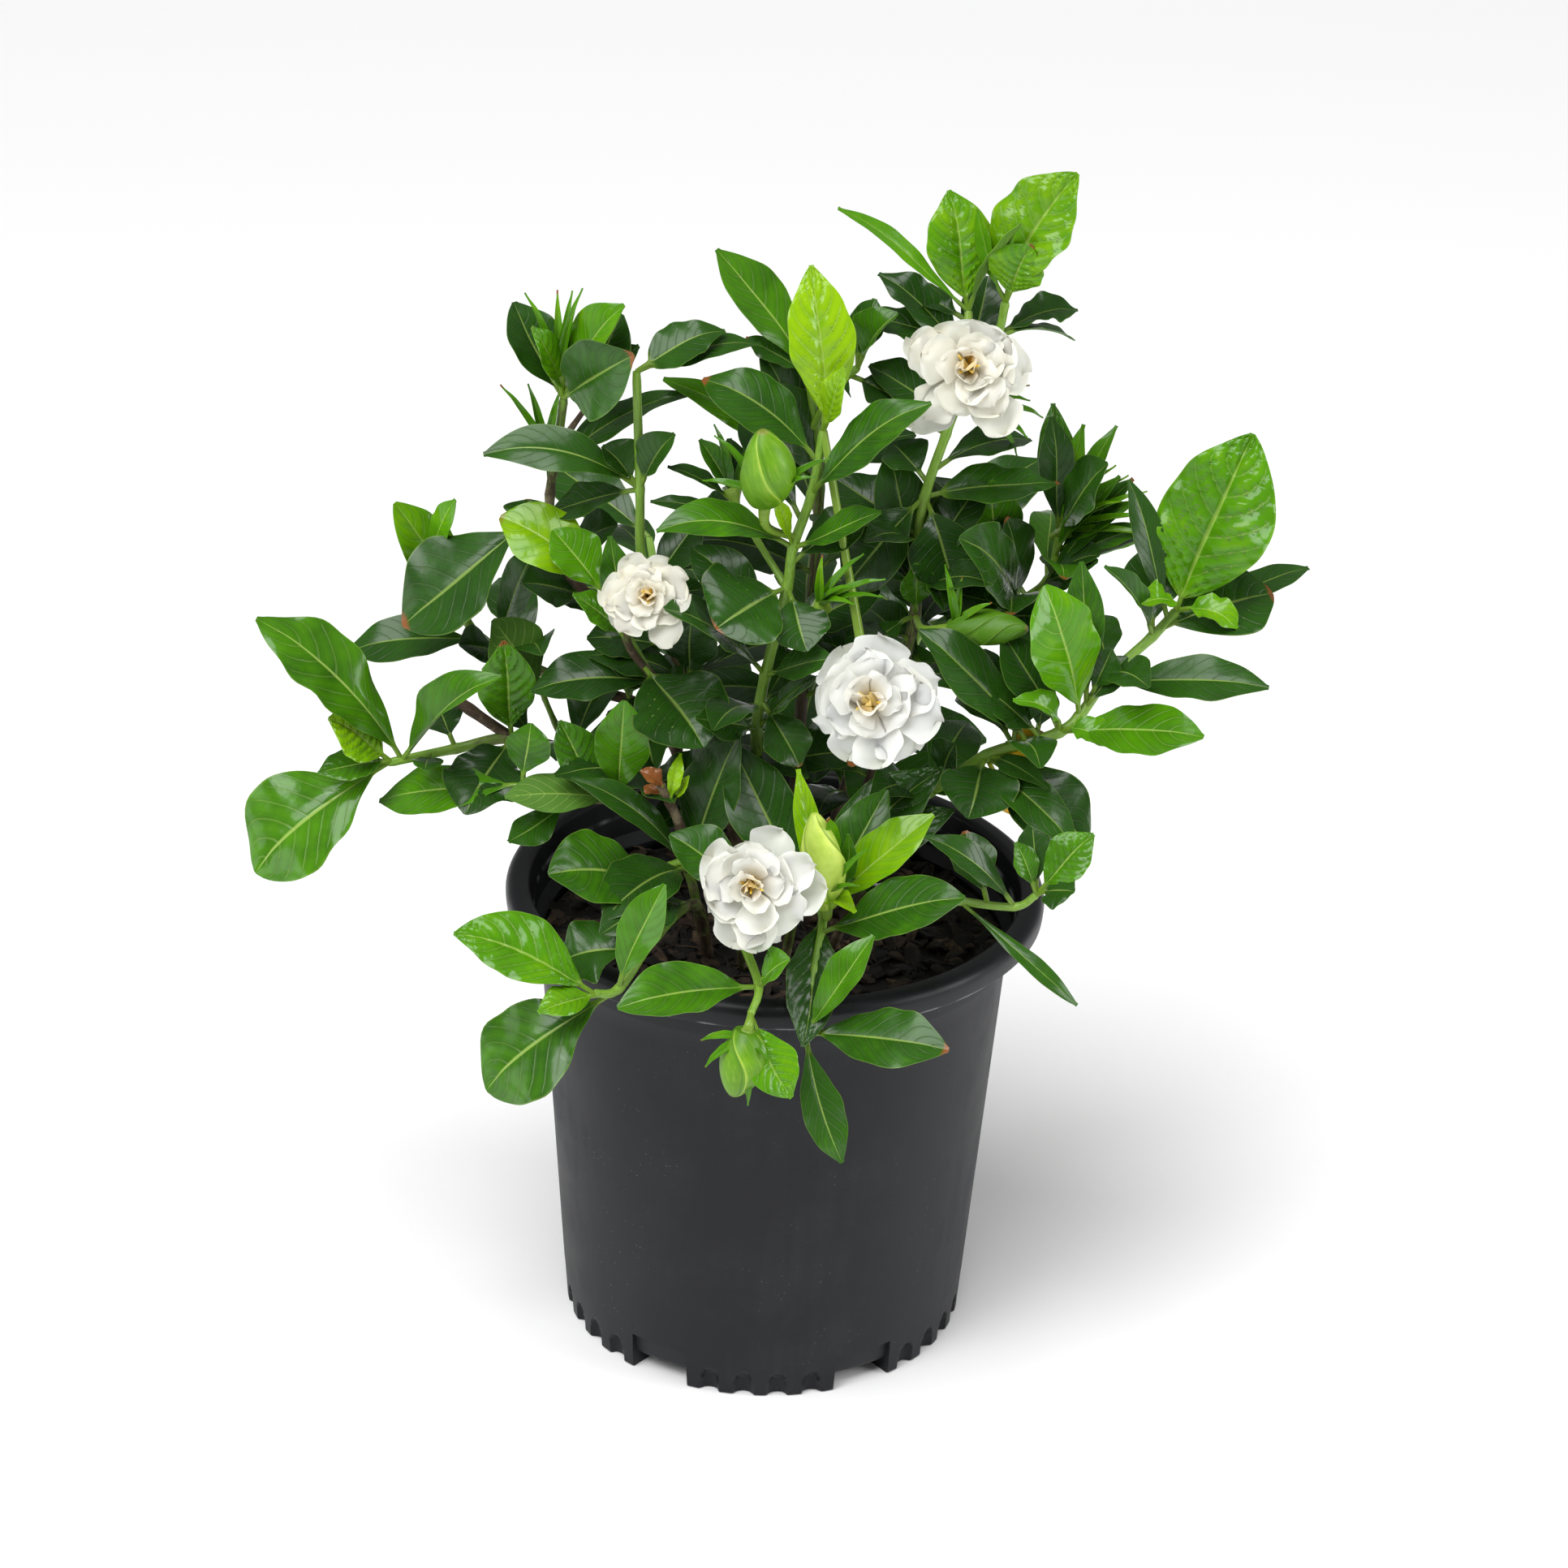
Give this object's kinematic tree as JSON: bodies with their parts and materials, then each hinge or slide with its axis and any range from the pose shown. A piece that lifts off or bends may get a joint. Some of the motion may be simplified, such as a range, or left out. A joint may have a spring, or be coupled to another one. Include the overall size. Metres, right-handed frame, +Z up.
{
  "type": "potted gardenia",
  "caption": "Young evergreen gardenia shrub with glossy opposite leaves, double white blooms and spiral buds, rooted in bark mix in a black footed nursery pot.",
  "frame": {"origin": "on the pot's axis, on the ground that its feet stand on", "axes": "+Z up along the pot's axis, -Y towards the front of the plant, +X to its right as seen from the front"},
  "size_m": [0.4565, 0.3167, 0.5397],
  "materials": {
    "pot_plastic": "black moulded polyethylene, satin inside the rim, dusty and slightly scuffed outside",
    "potting_mix": "dark damp bark chips and fibre, matte",
    "stem_bark": "green new wood turning to grey-brown bark at the foot, matte",
    "mature_leaf": "dark leathery leaf, waxy gloss, sunken pale veins",
    "young_leaf": "bright young leaf, waxy gloss, quilted between its veins",
    "petal": "ivory-white velvety petal, ochre at the bloom's centre",
    "bud_green": "yellow-green wrapped bud, satin"
  },
  "bodies": {
    "root": {"bloom_centre": "petal", "bloom_front": "petal", "bloom_left": "petal", "bloom_top": "petal", "bud_centre": "bud_green", "bud_hanging": "bud_green", "bud_pale": "bud_green", "bud_right": "bud_green", "leaf_back_left": "mature_leaf", "leaf_centre_broad": "mature_leaf", "leaf_centre_left": "mature_leaf", "leaf_centre_low": "mature_leaf", "leaf_centre_right": "mature_leaf", "leaf_centre_upright": "young_leaf", "leaf_front_hanging": "mature_leaf", "leaf_front_left": "mature_leaf", "leaf_front_right": "mature_leaf", "leaf_left_back": "mature_leaf", "leaf_left_lower": "mature_leaf", "leaf_left_upper": "mature_leaf", "leaf_low_centre_broad": "mature_leaf", "leaf_low_left_large": "mature_leaf", "leaf_low_left_young": "young_leaf", "leaf_rear_left": "young_leaf", "leaf_rear_low": "mature_leaf", "leaf_rear_right": "young_leaf", "leaf_right_hanging": "mature_leaf", "leaf_right_inner": "mature_leaf", "leaf_right_large": "young_leaf", "leaf_right_long": "mature_leaf", "leaf_right_low": "mature_leaf", "leaf_right_tip": "mature_leaf", "leaf_right_upright": "young_leaf", "leaf_rim_left": "young_leaf", "leaf_rim_ribbon": "mature_leaf", "leaf_spire_broad": "mature_leaf", "leaf_spire_side": "mature_leaf", "leaf_tall_arching": "mature_leaf", "leaf_tall_large": "young_leaf", "leaf_tall_upright": "young_leaf", "leaf_wand_arching": "mature_leaf", "pot": "pot_plastic", "potting_mix": "potting_mix", "stem_back": "stem_bark", "stem_bloom_left": "stem_bark", "stem_centre": "stem_bark", "stem_front": "stem_bark", "stem_left": "stem_bark", "stem_left_back": "stem_bark", "stem_low_centre": "stem_bark", "stem_low_left": "stem_bark", "stem_low_right": "stem_bark", "stem_rear_left": "stem_bark", "stem_rear_right": "stem_bark", "stem_right": "stem_bark", "stem_right_back": "stem_bark", "stem_spire_left": "stem_bark", "stem_tall": "stem_bark", "stem_wall_left": "stem_bark", "stem_wand_left": "stem_bark"}
  },
  "joints": []
}
